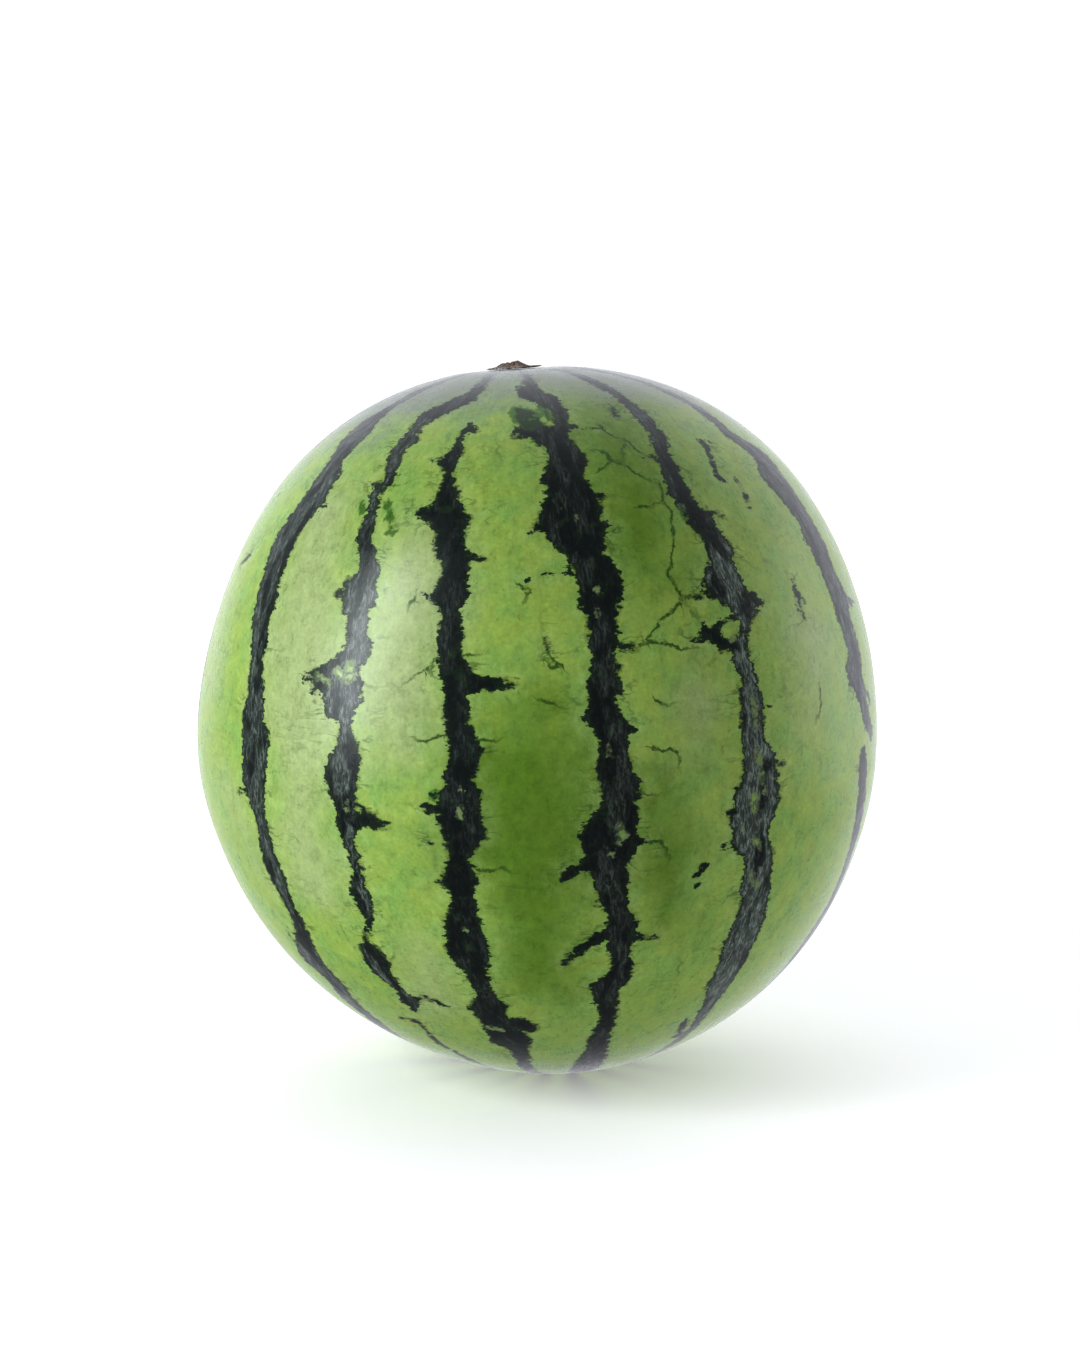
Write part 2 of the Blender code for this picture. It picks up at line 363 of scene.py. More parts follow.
# Hidden side: where its stripes cross the equator, in degrees round; waves of their line in degrees
# and of their half width in mm, each as a height and a rate; and the steps, half widths in mm and
# least and greatest length of their spurs
HIDDEN_STRIPES = [99.0, 124.0, 148.0, 173.0, -163.0, -138.0, -113.0, -84.0]
SWAY_WAVES = [(2.0, 2.2), (1.1, 6.0), (0.5, 15.0)]
WIDTH_WAVES = [(1.3, 4.0), (0.9, 11.0), (0.6, 27.0)]
HIDDEN_HALF = 4.9
SPUR_STEPS = np.array([0.0, 0.55, 1.0])
SPUR_HALVES = np.array([1.9, 1.2, 0.3])
SPUR_LENGTHS = (0.004, 0.011)
HIDDEN_SEED = 11
WANDERING_VEINS = 130

# Stub of the stalk: the slant of its broken top and its ridges, as in the solid, and how uneven,
# shredded and curled it is, the last two in mm
STEM_SEED = 5
TOP_SLANT = 0.16
STALK_RIDGES = 5
RIDGE_DEPTH = 0.10
UNEVENNESS = 0.035
FOOT_SHRED = 0.05
TOP_SHRED = 0.22
FOOT_CURL = 0.35

# How far from a stroke its depth is worked out
FIELD_REACH = 0.009

# Columns of a bar: its two ends, half width or strength at both, and its streaking
START, END = slice(0, 3), slice(3, 6)
AT_START, AT_END, STREAK = 6, 7, 8

# Soft lights: degrees right of the camera's side, degrees up and metres away; size; colour
LIGHTS = {
    "key_light": ((-61.0, 20.0, 1.5), (0.48, 1.2), (0.92, 0.95, 1.0)),
    "fill_light": ((102.0, 8.0, 1.5), (1.0, 1.2), (0.96, 0.98, 1.0)),
}

# Backdrop, and the room's brightest direction and colour
BACKDROP_RADIUS = 6.0
ROOM_BRIGHT = (0.28, 0.92, 0.28)
ROOM_COLOUR = (0.96, 0.955, 1.04)


def lean_over(directions, angle=LEAN):
    """Turns directions about Y, from the melon's own axis to the way it stands."""
    x, y, z = directions[..., 0], directions[..., 1], directions[..., 2]
    cos_lean, sin_lean = math.cos(angle), math.sin(angle)
    return np.stack([x * cos_lean - z * sin_lean, y, x * sin_lean + z * cos_lean], axis=-1)


def lean_back(directions):
    """The opposite turn, from the way the melon stands to its own axis."""
    return lean_over(directions, -LEAN)


def unit(vectors):
    """Vectors at length one: each over its own length."""
    return vectors / np.linalg.norm(vectors, axis=-1, keepdims=True)


def from_angles(down, around):
    """Unit directions at an angle down from the stem end and an angle round from -Y towards +X."""
    down, around = np.broadcast_arrays(down, around)
    across = np.sin(down)
    return np.stack([across * np.sin(around), -across * np.cos(around), np.cos(down)], axis=-1)


def rind_radius(own, way):
    """Radius of the rind: a superellipse turned round the upright, fuller above than below, with a
    sideways shift of both ends, broad swellings, and a hollow round the stem."""
    across = np.hypot(way[..., 0], way[..., 1] / DEPTH_TO_WIDTH)
    upper = np.clip(0.5 + way[..., 2] / (2 * END_BLEND), 0.0, 1.0)
    upper = upper * upper * (3.0 - 2.0 * upper)
    reach = DROP_TO_BLOSSOM_END + (RISE_TO_STEM_END - DROP_TO_BLOSSOM_END) * upper
    power = BLOSSOM_END_FULLNESS + (STEM_END_FULLNESS - BLOSSOM_END_FULLNESS) * upper
    level = np.abs(way[..., 2])
    radius = ((across / EQUATOR_RADIUS) ** power + (level / reach) ** power) ** (-1 / power)
    radius = radius + END_SHIFT * level ** 3 * way[..., 0]
    for swell_down, swell_around, height, spread in SWELLINGS:
        centre = from_angles(math.radians(swell_down), math.radians(swell_around))
        angle = np.arccos(np.clip(own @ centre, -1.0, 1.0))
        radius = radius + height * np.exp(-(angle / math.radians(spread)) ** 2)
    from_stem = np.arccos(np.clip(own[..., 2], -1.0, 1.0)) * RISE_TO_STEM_END / HOLLOW_RADIUS
    return radius - HOLLOW_DEPTH * (0.5 + 0.5 * np.cos(math.pi * np.minimum(from_stem, 1.0)))


def find_centre():
    """Where the formula's middle lies in the frame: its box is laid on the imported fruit's box."""
    down, around = np.linspace(0.0, math.pi, 181), np.linspace(-math.pi, math.pi, 361)
    own = from_angles(down[:, None], around[None, :])
    way = lean_over(own)
    points = (way * rind_radius(own, way)[..., None]).reshape(-1, 3)
    middle = 0.5 * (FRUIT_LOW + FRUIT_HIGH) - 0.5 * (points.min(axis=0) + points.max(axis=0))
    middle[2] = FRUIT_HIGH[2] - points[:, 2].max()
    return middle


CENTRE = find_centre()


def rind_points(down, around):
    """Points of the rind in the frame, at angles down from the stem end and round."""
    own = from_angles(down, around)
    way = lean_over(own)
    return CENTRE + way * rind_radius(own, way)[..., None]


def photo_camera(stage):
    """The photograph's camera: its place, and its right, up and forward directions. It looks past the
    middle of the fruit by the angles at which that middle lies off the photograph's centre."""
    rise = stage.camera_rise
    forward = np.array([0.0, math.cos(rise), -math.sin(rise)])
    place = MIDDLE - forward * stage.camera_distance
    down_tilt = math.atan((MIDDLE_Y - 0.5 * PHOTO_HEIGHT) / FOCAL_PIXELS)
    side_turn = math.atan((0.5 * PHOTO_WIDTH - MIDDLE_X) / FOCAL_PIXELS)
    angle = rise - down_tilt
    forward = unit(np.array([math.sin(side_turn), math.cos(angle), -math.sin(angle)]))
    right = unit(np.cross(forward, (0.0, 0.0, 1.0)))
    return place, right, np.cross(right, forward), forward


def cast(pixels, stage):
    """Points of the rind seen at pixels of the photograph. Each ray is halved again and again between
    a place outside and its nearest pass by the middle. A ray that misses takes the nearest rim."""
    pixels = np.asarray(pixels, dtype=float)
    place, right, up, forward = photo_camera(stage)
    across = (pixels[:, 0] - 0.5 * PHOTO_WIDTH) / FOCAL_PIXELS
    rise = (0.5 * PHOTO_HEIGHT - pixels[:, 1]) / FOCAL_PIXELS
    rays = unit(forward + across[:, None] * right + rise[:, None] * up)
    start = place - CENTRE
    far = -(rays @ start)
    near = far - 2.0 * EQUATOR_RADIUS
    for _ in range(HALVINGS):
        half = 0.5 * (near + far)
        points = start + rays * half[:, None]
        size = np.linalg.norm(points, axis=1)
        way = points / size[:, None]
        outside = size > rind_radius(lean_back(way), way)
        near = np.where(outside, half, near)
        far = np.where(outside, far, half)
    way = unit(start + rays * far[:, None])
    return CENTRE + way * rind_radius(lean_back(way), way)[:, None]


def chain(points, halves, streaking=0.0):
    """A stroke as tapering bars, one row a bar: starts, ends, half widths at both, and streaking. A
    lone point makes a round spot."""
    if len(points) == 1:
        points, halves = np.repeat(points, 2, axis=0), np.repeat(halves, 2)
    streaks = np.full(len(points) - 1, streaking)
    return np.column_stack([points[:-1], points[1:], halves[:-1], halves[1:], streaks])


def row_stroke(rows, stage):
    """Points and half widths of a stripe given by rows: the middle of its two edges on the rind, and
    half their distance, less what the stripe's slant adds to it."""
    rows = np.array(rows, dtype=float)
    left = cast(rows[:, [1, 0]], stage)
    right = cast(rows[:, [2, 0]], stage)
    middle = cast(np.column_stack([0.5 * (rows[:, 1] + rows[:, 2]), rows[:, 0]]), stage)
    span = right - left
    path = unit(np.gradient(middle, axis=0))
    along = np.abs((span * path).sum(axis=1))
    width = np.sqrt(np.maximum((span ** 2).sum(axis=1) - along ** 2, 0.0))
    return middle, 0.5 * width


def pixel_stroke(chain_of_pixels, stage):
    """Points and half widths of a stroke given by pixels and half widths in mm."""
    values = np.array(chain_of_pixels, dtype=float)
    return cast(values[:, :2], stage), values[:, 2] * MM


def angles_of(point):
    """Angles down and round of a point of the rind."""
    own = lean_back(unit(point - CENTRE))
    return math.acos(own[2]), math.atan2(own[0], -own[1])


def carry_on(point, half, end_down, end_half, random):
    """Continues a stripe from a point to an angle down, along the melon with a slight sway: points
    and half widths, which pass evenly from the first to the last and swell a little."""
    down, around = angles_of(point)
    steps = np.linspace(0.0, 1.0, max(3, int(abs(end_down - down) * 16)))
    sway = 0.02 * np.sin(steps * random.uniform(5.0, 9.0)) * steps
    points = rind_points(down + (end_down - down) * steps, around + sway)
    return points, (half + (end_half - half) * steps) * (1.0 + 0.25 * np.sin(steps * 9.0) * steps)


def wave_sum(shapes, angle, phases):
    """A sum of sine waves along an angle, each with its own height, rate and phase."""
    return sum(height * np.sin(rate * angle + phase) for (height, rate), phase in zip(shapes, phases))


def hidden_stripe(around, random):
    """A stripe of the unseen side. Its line sways by one sum of waves and its half width by another,
    it narrows to the ends, and it throws short tapering spurs to both sides."""
    down = np.radians(np.linspace(random.uniform(6.0, 12.0), 173.0, 76))
    phases = random.uniform(0.0, 2.0 * math.pi, 6)
    round_angle = np.radians(around + wave_sum(SWAY_WAVES, down, phases[:3]))
    half = (HIDDEN_HALF + wave_sum(WIDTH_WAVES, down, phases[3:])) * MM
    half = half * np.clip(np.sin(down) * 1.6, 0.16, 1.0)
    strokes = [chain(rind_points(down, round_angle), half, random.uniform(0.2, 0.9))]
    for _ in range(random.integers(6, 10)):
        at = random.integers(14, 62)
        side = random.choice([-1.0, 1.0])
        length = random.uniform(*SPUR_LENGTHS)
        spread = side * (0.7 * half[at] + length * SPUR_STEPS) / (EQUATOR_RADIUS * math.sin(down[at]))
        drop = random.uniform(-0.03, 0.05) * SPUR_STEPS
        points = rind_points(down[at] + drop, round_angle[at] + spread)
        strokes.append(chain(points, SPUR_HALVES * random.uniform(0.7, 1.3) * MM, 0.2))
    return strokes


def dark_strokes(stage):
    """All bars of the stripes and spurs, seen and hidden."""
    random = np.random.default_rng(HIDDEN_SEED)
    strokes = []
    for name, rows in STRIPE_ROWS.items():
        points, halves = row_stroke(rows, stage)
        parts = [(points, halves)]
        if name in UP_TO_STEM:
            parts.append(carry_on(points[0], halves[0], STEM_END_DOWN, 0.9 * MM, random))
        if name in DOWN_TO_BLOSSOM:
            parts.append(carry_on(points[-1], halves[-1], BLOSSOM_END_DOWN, 1.2 * MM, random))
        strokes.extend(chain(*part, STREAKING[name]) for part in parts)
    strokes.append(pixel_strokes(SPURS, stage))
    foot, _ = pixel_stroke(SECOND_FOOT, stage)
    strokes.append(chain(*carry_on(foot[0], 1.2 * MM, math.radians(172.0), 1.0 * MM, random)))
    for around in HIDDEN_STRIPES:
        strokes.extend(hidden_stripe(around, random))
    return np.concatenate(strokes)


def pixel_strokes(strokes, stage):
    """The bars of many strokes given by pixels."""
    return np.concatenate([chain(*pixel_stroke(stroke, stage)) for stroke in strokes])


def vein_strokes(stage):
    """The veins that are listed, and short wandering ones all over by a seeded walk: each starts
    anywhere, heads roughly round the melon, and turns a little at each of its few short steps."""
    random = np.random.default_rng(HIDDEN_SEED + 1)
    strokes = []
    for vein in VEINS:
        points = cast(np.array(vein, dtype=float), stage)
        strength = np.full(len(points), 1.0)
        strength[-1] = 0.4
        strokes.append(chain(points, strength))
    for _ in range(WANDERING_VEINS):
        down = math.acos(random.uniform(-0.95, 0.95))
        around = random.uniform(-math.pi, math.pi)
        heading = random.choice([0.0, math.pi]) + random.normal(0.0, 0.7)
        count = random.integers(4, 9)
        turns = heading + np.cumsum(random.normal(0.0, 0.55, count))
        step = random.uniform(1.2, 2.6) * MM / EQUATOR_RADIUS
        downs = down + step * np.concatenate([[0.0], np.cumsum(np.sin(turns))])
        rounds = around + step * np.concatenate([[0.0], np.cumsum(np.cos(turns))]) / math.sin(down)
        strength = random.uniform(0.15, 0.60) * np.sin(np.linspace(0.25, math.pi - 0.15, count + 1))
        strokes.append(chain(rind_points(downs, rounds), strength))
    return np.concatenate(strokes)


def near_bar(points, bar, extra):
    """The points near a bar: their numbers, place along it from 0 to 1, and offset from it."""
    start, end = bar[START], bar[END]
    run = end - start
    size = max(float(run @ run), 1e-12)
    limit = extra + 0.5 * math.sqrt(size)
    near = np.flatnonzero(((points - 0.5 * (start + end)) ** 2).sum(axis=1) < limit * limit)
    free = (points[near] - start) @ run / size
    along = np.clip(free, 0.0, 1.0)
    return near, along, points[near] - start - along[:, None] * run


def part_way(bar, along):
    """A bar's half width or strength part of the way along it, evenly between its two ends."""
    return bar[AT_START] + (bar[AT_END] - bar[AT_START]) * along


def depth_in_strokes(points, bars, reach=FIELD_REACH):
    """How deep each point lies inside the nearest tapering bar, in metres, and that bar's streaking.
    The depth is the bar's half width there less the distance from its middle line."""
    depth = np.full(len(points), -reach)
    streaking = np.zeros(len(points))
    for bar in bars:
        near, along, offset = near_bar(points, bar, reach + max(bar[AT_START], bar[AT_END]))
        value = part_way(bar, along) - np.linalg.norm(offset, axis=1)
        better = value > depth[near]
        depth[near[better]] = value[better]
        streaking[near[better]] = bar[STREAK]
    return depth, streaking


def pixel_depth(points, strokes, stage, reach=FIELD_REACH):
    """How deep each point lies inside strokes given by pixels, in mm."""
    return depth_in_strokes(points, pixel_strokes(strokes, stage), reach)[0] / MM


def vein_fields(points, normals, bars):
    """Signed distance across the nearest vein, in metres, and the vein's strength there. The sign is
    the side of the vein, so a line drawn where the distance is nought stays thin between points. The
    strength is the vein's own near it, and fades to nought 3.5 mm away."""
    across = np.full(len(points), FIELD_REACH)
    strength = np.zeros(len(points))
    for bar in bars:
        near, along, offset = near_bar(points, bar, 0.5 * FIELD_REACH)
        distance = np.linalg.norm(offset, axis=1)
        side = np.sign((np.cross(bar[END] - bar[START], offset) * normals[near]).sum(axis=1))
        better = distance < np.abs(across[near])
        chosen = near[better]
        across[chosen] = (distance * np.where(side == 0.0, 1.0, side))[better]
        fade = np.clip(1.6 - distance / (2.2 * MM), 0.0, 1.0)
        strength[chosen] = (part_way(bar, along) * fade)[better]
    return across, strength


def grid_mesh(name, rings, low_pole, high_pole):
    """A closed surface from an array of rings, rows by columns by 3, with a point at either end. Each
    four neighbours make a face, the first ring is at the high pole, and the faces point outwards."""
    rows, columns, _ = rings.shape
    points = np.concatenate([rings.reshape(-1, 3), [high_pole, low_pole]])
    here = np.arange(columns)
    after = (here + 1) % columns
    row = np.arange(rows - 1)[:, None] * columns
    below = row + columns
    quads = np.stack([row + here, below + here, below + after, row + after], axis=-1).reshape(-1, 4)
    high, low = rows * columns, rows * columns + 1
    last = (rows - 1) * columns
    caps = np.concatenate([
        np.stack([here, after, np.full(columns, high)], axis=-1),
        np.stack([last + after, last + here, np.full(columns, low)], axis=-1),
    ])
    mesh = bpy.data.meshes.new(name)
    mesh.vertices.add(len(points))
    mesh.vertices.foreach_set("co", points.astype(np.float32).ravel())
    corners = np.concatenate([quads.ravel(), caps.ravel()])
    sizes = np.concatenate([np.full(len(quads), 4), np.full(len(caps), 3)])
    mesh.loops.add(len(corners))
    mesh.loops.foreach_set("vertex_index", corners.astype(np.int32))
    mesh.polygons.add(len(sizes))
    mesh.polygons.foreach_set("loop_start", (np.cumsum(sizes) - sizes).astype(np.int32))
    mesh.update(calc_edges=True)
    mesh.validate()
    mesh.shade_smooth()
    return mesh, points


def put_attributes(mesh, fields):
    """Keeps named arrays on the mesh's points, one number or three a point."""
    for name, values in fields.items():
        kind, key = ("FLOAT", "value") if values.ndim == 1 else ("FLOAT_VECTOR", "vector")
        attribute = mesh.attributes.new(name, kind, "POINT")
        attribute.data.foreach_set(key, values.astype(np.float32).ravel())


def wobble(around, random, waves):
    """An uneven line round a ring, between about -1 and 1: a sum of seeded waves."""
    phases = random.uniform(0.0, 2.0 * math.pi, waves)
    heights = random.normal(0.0, 1.0 / math.sqrt(waves), waves)
    counts = np.arange(2, waves + 2)
    return (heights * np.sin(counts * around[:, None] + phases)).sum(axis=1)


def add_piece(name, mesh, material, body, node):
    """Adds a finished piece that rides on a body and stands for a CAD node."""
    piece = bpy.data.objects.new(name, mesh)
    bpy.context.scene.collection.objects.link(piece)
    mesh.materials.append(material)
    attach(piece, body)
    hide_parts(node)


class Signal:
    """A shader socket in an expression. Numbers and other signals are added to it, taken from it and
    multiplied with it by Math nodes."""

    def __init__(self, paint, socket):
        self.paint = paint
        self.socket = socket

    def __add__(self, other):
        return self.paint.maths("ADD", self, other)

    def __sub__(self, other):
        return self.paint.maths("SUBTRACT", self, other)

    def __rsub__(self, other):
        return self.paint.maths("SUBTRACT", other, self)

    def __mul__(self, other):
        return self.paint.maths("MULTIPLY", self, other)

    __radd__ = __add__
    __rmul__ = __mul__

    def size(self):
        """The value without its sign."""
        return self.paint.maths("ABSOLUTE", self)

    def rise(self, start, end):
        """0 below start and 1 above end, smooth between; falls instead if end is below start."""
        sockets = {"Value": self, "From Min": start, "From Max": end}
        if end < start:
            sockets = {"Value": self, "From Min": end, "From Max": start, "To Min": 1.0, "To Max": 0.0}
        settings = {"interpolation_type": "SMOOTHSTEP"}
        return self.paint.node("ShaderNodeMapRange", settings, sockets)


class Paint:
    """The nodes of a material or of the room, and the one method that adds to them."""

    def __init__(self, made, shader="Principled BSDF"):
        made.use_nodes = True
        self.made = made
        self.tree = made.node_tree
        self.shader = self.tree.nodes[shader]

    def node(self, kind, settings, sockets, output=0):
        """Adds a node: its settings first, then the values or links of its sockets."""
        made = self.tree.nodes.new(kind)
        for name, value in settings.items():
            setattr(made, name, value)
        for name, value in sockets.items():
            self.feed(made.inputs[name], value)
        return Signal(self, made.outputs[output])

    def feed(self, socket, value):
        """Links a signal to a socket, or sets a plain value on it. A plain colour is opaque."""
        if isinstance(value, Signal):
            self.tree.links.new(value.socket, socket)
        elif socket.type == "RGBA":
            socket.default_value = (*value, 1.0)
        else:
            socket.default_value = value

    def finish(self, sockets):
        """Feeds the sockets of the shader, and returns the material or the room."""
        for name, value in sockets.items():
            self.feed(self.shader.inputs[name], value)
        return self.made

    def maths(self, operation, *values):
        """One step of arithmetic on numbers and signals."""
        return self.node("ShaderNodeMath", {"operation": operation}, dict(enumerate(values)))

    def place(self):
        """Object coordinates, in metres."""
        return self.node("ShaderNodeTexCoord", {}, {}, "Object")

    def attribute(self, name, output="Fac"):
        """What the mesh keeps on its points under a name."""
        return self.node("ShaderNodeAttribute", {"attribute_name": name}, {}, output)

    def part(self, vector, axis):
        """One of a vector's three numbers."""
        return self.node("ShaderNodeSeparateXYZ", {}, {"Vector": vector}, axis)

    def stretch(self, vector, *factors):
        """Scales the three numbers of a vector, each by its own factor."""
        return self.node("ShaderNodeVectorMath", {"operation": "MULTIPLY"}, {0: vector, 1: factors})

    def brighten(self, colour, amount):
        """Scales a colour by a number signal."""
        sockets = {"Vector": colour, "Scale": amount}
        return self.node("ShaderNodeVectorMath", {"operation": "SCALE"}, sockets)

    def noise(self, vector, size_mm, detail, roughness, distortion=0.0):
        """Cloudy noise between about 0.25 and 0.75, with clouds of a size in mm."""
        sockets = {"Vector": vector, "Scale": 1000.0 / size_mm, "Detail": detail,
                   "Roughness": roughness, "Distortion": distortion}
        return self.node("ShaderNodeTexNoise", {"noise_dimensions": "3D"}, sockets)

    def blend(self, below, above, factor):
        """Mixes two colours by the Mix node's colour sockets, which its names don't tell apart."""
        return self.node("ShaderNodeMix", {"data_type": "RGBA"}, {0: factor, 6: below, 7: above}, 2)

    def layers(self, colour, *coats):
        """Lays colours over a first one in turn, each by its own factor."""
        for above, factor in coats:
            colour = self.blend(colour, above, factor)
        return colour

    def bump(self, height, strength, distance):
        """Bends the surface's normal by a height signal, which is worth a distance in metres."""
        sockets = {"Height": height, "Strength": strength, "Distance": distance}
        return self.node("ShaderNodeBump", {}, sockets)


BLACK = (0.0, 0.0, 0.0)
WHITE = (1.0, 1.0, 1.0)


def rind_material(look):
    """Waxy striped skin. Stripes show where the depth in the dark strokes, roughened by noise, is
    above nought; veins where the distance across them is near nought. The ground between is green,
    deep and pale in broad tones that are partly its own and partly painted shade and painted light,
    with soft mottles, paler along the stripes, speckled, and crossed by faint twigs. Round the stem a
    painted reflection greys skin and stripes."""
    paint = Paint(bpy.data.materials.new("rind_skin"))
    place = paint.place()
    along = paint.attribute("run", "Vector")
    edge = paint.attribute("stripe_depth")
    streaking = paint.attribute("streaking")
    blotch = paint.attribute("blotch_depth")
    gap = paint.attribute("gap_depth")
    vein = paint.attribute("vein_across")
    vein_strength = paint.attribute("vein_strength")
    brushed = paint.stretch(along, 1.0, 1.0, 0.30)
    crossing = paint.stretch(along, 0.36, 0.36, 1.0)
    from_stem = (-1.0 / MM) * paint.part(along, "Z")
    sideways = (1.0 / MM) * paint.part(along, "X").size()

    # Noises, from broad to fine
    cloud = paint.noise(place, 30.0, 3.0, 0.55)
    tint = paint.noise(place, 11.0, 3.0, 0.6)
    mottle = paint.noise(paint.stretch(along, 1.0, 1.0, 0.75), 3.6, 3.0, 0.65)
    coarse = paint.noise(place, 5.0, 3.0, 0.65)
    fingers = paint.noise(crossing, 1.9, 3.0, 0.7)
    fine = paint.noise(place, 1.3, 2.0, 0.6)
    cloudy, tinted, lumpy, gritty = cloud - 0.5, tint - 0.5, coarse - 0.5, fine - 0.5

    # The stripes' torn edges
    ragged = edge + look.raggedness * (4.2 * lumpy + 6.0 * (fingers - 0.5) + 2.2 * gritty)
    stripe = ragged.rise(-0.34, 0.34)

    # The ground's broad tones, partly painted shade and painted light, its halo, and the painted
    # reflection round the stem
    # deep and pale carry the ground's own tones together with painted shade and painted light
    deep = (paint.attribute("deep_and_shade_depth") + 40.0 * cloudy).rise(-22.0, 16.0)
    pale = (paint.attribute("pale_and_light_depth") + 40.0 * cloudy).rise(-20.0, 14.0)
    halo = edge.rise(-8.0, -0.3) * (coarse + 0.6 * cloudy).rise(0.40, 0.62)
    # A painted reflection: grey haze of the bright room behind, laid on the skin round the stem
    crown_reflection = (from_stem - 0.22 * sideways + 50.0 * cloudy + 25.0 * tinted).rise(62.0, 20.0)
    ground = paint.layers(
        look.ground_colour,
        (look.olive_colour, tint.rise(0.36, 0.64)),
        (look.deep_and_shade_colour, 0.92 * deep),
        (look.pale_colour, pale),
        (look.halo_colour, 0.22 * halo),
        (look.crown_reflection_colour, 0.8 * crown_reflection))
    ground = paint.brighten(ground, 0.34 + 0.50 * mottle + 0.44 * fine + 0.36 * coarse)

    # Specks, twigs and veins
    specks = paint.noise(paint.stretch(along, 1.0, 1.0, 0.85), 2.2, 3.0, 0.65).rise(0.62, 0.74)
    twig_line = (paint.noise(crossing, 13.0, 4.0, 0.62, 0.4) - 0.5).size().rise(0.020, 0.004)
    twig_mask = paint.noise(place, 15.0, 2.0, 0.5).rise(0.48, 0.60)
    twigs = twig_line * twig_mask * (0.35 + 0.65 * edge.rise(-8.0, -1.0))
    wander = (vein + 1.6 * gritty + 5.0 * lumpy).size()
    vein_line = wander.rise(0.85, 0.20) * vein_strength * mottle.rise(0.26, 0.50)

    # Moss-green blotches with a dark net, and the dark fringe of the stripes
    moss = (blotch + 9.0 * lumpy + 3.0 * gritty).rise(-0.8, 0.6)
    thick_net = (paint.noise(place, 5.5, 3.0, 0.6) - 0.47).size().rise(0.15, 0.07)
    moss_net = moss * thick_net * blotch.rise(0.6, 2.2)
    fringe = (ragged + 3.0 * (mottle - 0.5)).rise(-1.3, 0.1) * tint.rise(0.48, 0.60)
    ground = paint.layers(
        ground,
        (look.vein_colour, 0.40 * specks * cloud.rise(0.40, 0.60)),
        (look.vein_colour, look.vein_depth * twigs),
        (look.vein_colour, 0.95 * vein_line),
        (look.moss_colour, 0.85 * moss),
        (look.fringe_colour, 0.95 * moss_net),
        (look.fringe_colour, 0.7 * fringe))

    # Inside the stripes: light streaks, gaps netted with dark, and the painted reflection that greys
    # them towards the stem
    grain = (paint.noise(brushed, 2.0, 3.0, 0.6, 0.3) - 0.5).size().rise(0.055, 0.008)
    flecks = paint.noise(brushed, 1.2, 3.0, 0.62).rise(0.52, 0.64)
    patches = paint.noise(paint.stretch(along, 1.0, 1.0, 0.4), 6.0, 2.0, 0.5)
    patches = (patches + 0.10 * streaking).rise(0.46, 0.60)
    inside = ragged.rise(0.4, 1.8)
    streaks = (0.55 * grain + 0.7 * flecks) * (0.15 + 0.85 * patches)
    streaks = streaks * inside * (0.08 + 0.92 * streaking)
    net = (paint.noise(place, 4.5, 3.0, 0.6) - 0.5).size().rise(0.075, 0.02)
    hole = (gap + 3.0 * lumpy + 3.0 * gritty).rise(-0.7, 0.3) * (1.0 - 0.65 * net)
    dark = paint.layers(
        look.stripe_colour,
        (look.fringe_colour, 0.6 * ragged.rise(2.0, 0.2)),
        (look.fringe_colour, 0.6 * coarse.rise(0.54, 0.70)),
        (look.streak_colour, 0.18 * inside * patches * streaking),
        (look.streak_colour, 0.85 * streaks),
        (paint.blend(look.hole_colour, ground, gap.rise(0.5, 1.3)), hole),
        # Painted reflection: the same grey haze over the stripes towards the stem
        (look.crown_reflection_colour, 0.66 * (from_stem + 25.0 * cloudy).rise(40.0, 17.0)))

    bumps = 0.6 * paint.noise(place, 3.2, 2.0, 0.5) + 0.3 * fine + 0.2 * stripe
    return paint.finish({
        "Base Color": paint.blend(ground, dark, stripe),
        "Roughness": look.gloss_roughness + 0.22 * (mottle - 0.5) + 0.16 * tinted,
        "Normal": paint.bump(bumps, 0.22, 0.0003),
        "IOR": 1.45,
        "Sheen Weight": look.bloom,
        "Sheen Roughness": 0.15,
        "Sheen Tint": look.bloom_tint,
        "Metallic": 0.0,
    })


def stem_material(look):
    """Dry cork: brown fibres that run up the stub, darker in the cracks and greyer on the foot."""
    paint = Paint(bpy.data.materials.new("stalk_cork"))
    place = paint.place()
    fibre = paint.attribute("fibre", "Vector")
    strands = paint.noise(paint.stretch(fibre, 1.0, 1.0, 0.16), 0.8, 4.0, 0.7)
    grains = paint.noise(place, 0.7, 3.0, 0.6)
    cracks = paint.noise(paint.stretch(fibre, 1.0, 1.0, 0.2), 1.9, 3.0, 0.6)
    cracks = (cracks - 0.5).size().rise(0.05, 0.01)
    low = paint.attribute("rise").rise(1.5, 0.5)
    return paint.finish({
        "Base Color": paint.layers(
            look.cork_colour,
            (look.pale_colour, strands.rise(0.42, 0.66)),
            (look.ash_colour, 0.85 * low * grains.rise(0.3, 0.5)),
            (look.crack_colour, 0.8 * cracks)),
        "Roughness": 0.72 + 0.3 * (grains - 0.5),
        "Normal": paint.bump(strands + 0.6 * grains - 0.8 * cracks, 0.7, 0.0004),
        "Metallic": 0.0,
    })


def floor_material(stage):
    """Matt pale floor. Its own light grows from little near the melon to enough for white far off."""
    paint = Paint(bpy.data.materials.new("studio_floor"))
    distance = paint.node("ShaderNodeVectorMath", {"operation": "LENGTH"}, {0: paint.place()}, "Value")
    return paint.finish({
        "Base Color": stage.floor_colour,
        "Roughness": 0.9,
        "Specular IOR Level": 0.0,
        "Emission Color": paint.blend(BLACK, WHITE, 0.45 + 0.55 * distance.rise(0.25, 1.6)),
        "Emission Strength": stage.floor_glow,
    })


def backdrop_material():
    """Even white light of its own, a little over full white, and no shading."""
    return Paint(bpy.data.materials.new("studio_backdrop")).finish({
        "Base Color": BLACK,
        "Specular IOR Level": 0.0,
        "Emission Color": WHITE,
        "Emission Strength": 1.05,
    })


